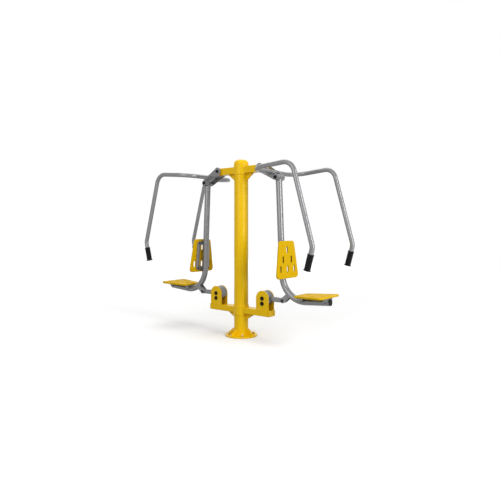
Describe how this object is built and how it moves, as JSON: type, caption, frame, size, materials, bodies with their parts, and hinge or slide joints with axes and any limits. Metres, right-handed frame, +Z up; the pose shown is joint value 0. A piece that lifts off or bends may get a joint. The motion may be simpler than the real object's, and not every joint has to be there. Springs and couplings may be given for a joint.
{
  "type": "outdoor push chair trainer",
  "caption": "Outdoor gym chest press: a ground-bolted post carries a hanging seat on each side, lifted when its user pushes the curved handle's grips away.",
  "frame": {"origin": "on the ground, on the post's axis, in the middle of the base flange's underside", "axes": "+Z up, +X along the machine towards its right station, -Y towards the side that the picture shows"},
  "size_m": [2.0912, 0.768, 1.742],
  "materials": {
    "yellow_paint": "gloss",
    "silver_paint": "satin",
    "seat_plastic": "gloss",
    "grip_rubber": "matte",
    "black_plastic": "matte",
    "bush_plastic": "matte",
    "zinc_steel": "satin",
    "black_steel": "satin"
  },
  "bodies": {
    "frame": {"base_flange": "yellow_paint", "base_ribs": "yellow_paint", "anchor_washers": "zinc_steel", "anchor_nuts": "zinc_steel", "post_tube": "yellow_paint", "top_cap": "yellow_paint", "head_sleeve": "yellow_paint", "left_crossarm": "yellow_paint", "right_crossarm": "yellow_paint", "head_gussets": "yellow_paint", "pivot_housings": "yellow_paint", "head_bushes": "bush_plastic", "beam_sleeve": "yellow_paint", "left_beam": "yellow_paint", "right_beam": "yellow_paint", "beam_covers": "yellow_paint", "beam_gussets": "yellow_paint", "left_bracket_plates": "yellow_paint", "right_bracket_plates": "yellow_paint", "link_axles": "zinc_steel", "stop_bolts": "zinc_steel", "bracket_caps": "black_plastic"},
    "left_lever": {"left_lever_plates": "silver_paint", "left_handle": "silver_paint", "left_grips": "grip_rubber", "left_lever_axles": "zinc_steel", "left_lever_caps": "black_plastic"},
    "left_seat": {"left_seat_hub": "silver_paint", "left_seat_bushes": "bush_plastic", "left_seat_tube": "silver_paint", "left_tube_plug": "black_plastic", "left_lug_plates": "silver_paint", "left_lug_bolt": "black_steel", "left_backrest_frame": "silver_paint", "left_backrest": "seat_plastic", "left_seat_bars": "silver_paint", "left_seat_plate": "seat_plastic", "left_plate_bolts": "black_steel"},
    "left_link": {"left_link_hub": "silver_paint", "left_link_arm": "silver_paint", "left_link_bushes": "bush_plastic"},
    "right_lever": {"right_lever_plates": "silver_paint", "right_handle": "silver_paint", "right_grips": "grip_rubber", "right_lever_axles": "zinc_steel", "right_lever_caps": "black_plastic"},
    "right_seat": {"right_seat_hub": "silver_paint", "right_seat_bushes": "bush_plastic", "right_seat_tube": "silver_paint", "right_tube_plug": "black_plastic", "right_lug_plates": "silver_paint", "right_lug_bolt": "black_steel", "right_backrest_frame": "silver_paint", "right_backrest": "seat_plastic", "right_seat_bars": "silver_paint", "right_seat_plate": "seat_plastic", "right_plate_bolts": "black_steel"},
    "right_link": {"right_link_hub": "silver_paint", "right_link_arm": "silver_paint", "right_link_bushes": "bush_plastic"}
  },
  "joints": [
    {"name": "left_lever_pivot", "type": "hinge", "parent": "frame", "child": "left_lever", "pos_m": [-0.269, 0, 1.642], "axis": [0, 1, 0], "range_deg": [0, 28]},
    {"name": "left_seat_pivot", "type": "hinge", "parent": "left_lever", "child": "left_seat", "pos_m": [-0.45504, 0, 1.53502], "axis": [0, 1, 0], "range_deg": [-30.5, 0]},
    {"name": "left_link_pivot", "type": "hinge", "parent": "frame", "child": "left_link", "pos_m": [-0.2947, 0, 0.3982], "axis": [0, 1, 0], "range_deg": [0, 26.6]},
    {"name": "right_lever_pivot", "type": "hinge", "parent": "frame", "child": "right_lever", "pos_m": [0.269, 0, 1.642], "axis": [0, -1, 0], "range_deg": [0, 28]},
    {"name": "right_seat_pivot", "type": "hinge", "parent": "right_lever", "child": "right_seat", "pos_m": [0.45504, 0, 1.53502], "axis": [0, -1, 0], "range_deg": [-30.5, 0]},
    {"name": "right_link_pivot", "type": "hinge", "parent": "frame", "child": "right_link", "pos_m": [0.2947, 0, 0.3982], "axis": [0, -1, 0], "range_deg": [0, 26.6]}
  ],
  "couplings": [
    {"joint": "left_seat_pivot", "follows": "left_lever_pivot", "ratio": -1.0892},
    {"joint": "left_link_pivot", "follows": "left_lever_pivot", "ratio": 0.94744},
    {"joint": "right_seat_pivot", "follows": "right_lever_pivot", "ratio": -1.0892},
    {"joint": "right_link_pivot", "follows": "right_lever_pivot", "ratio": 0.94744}
  ]
}
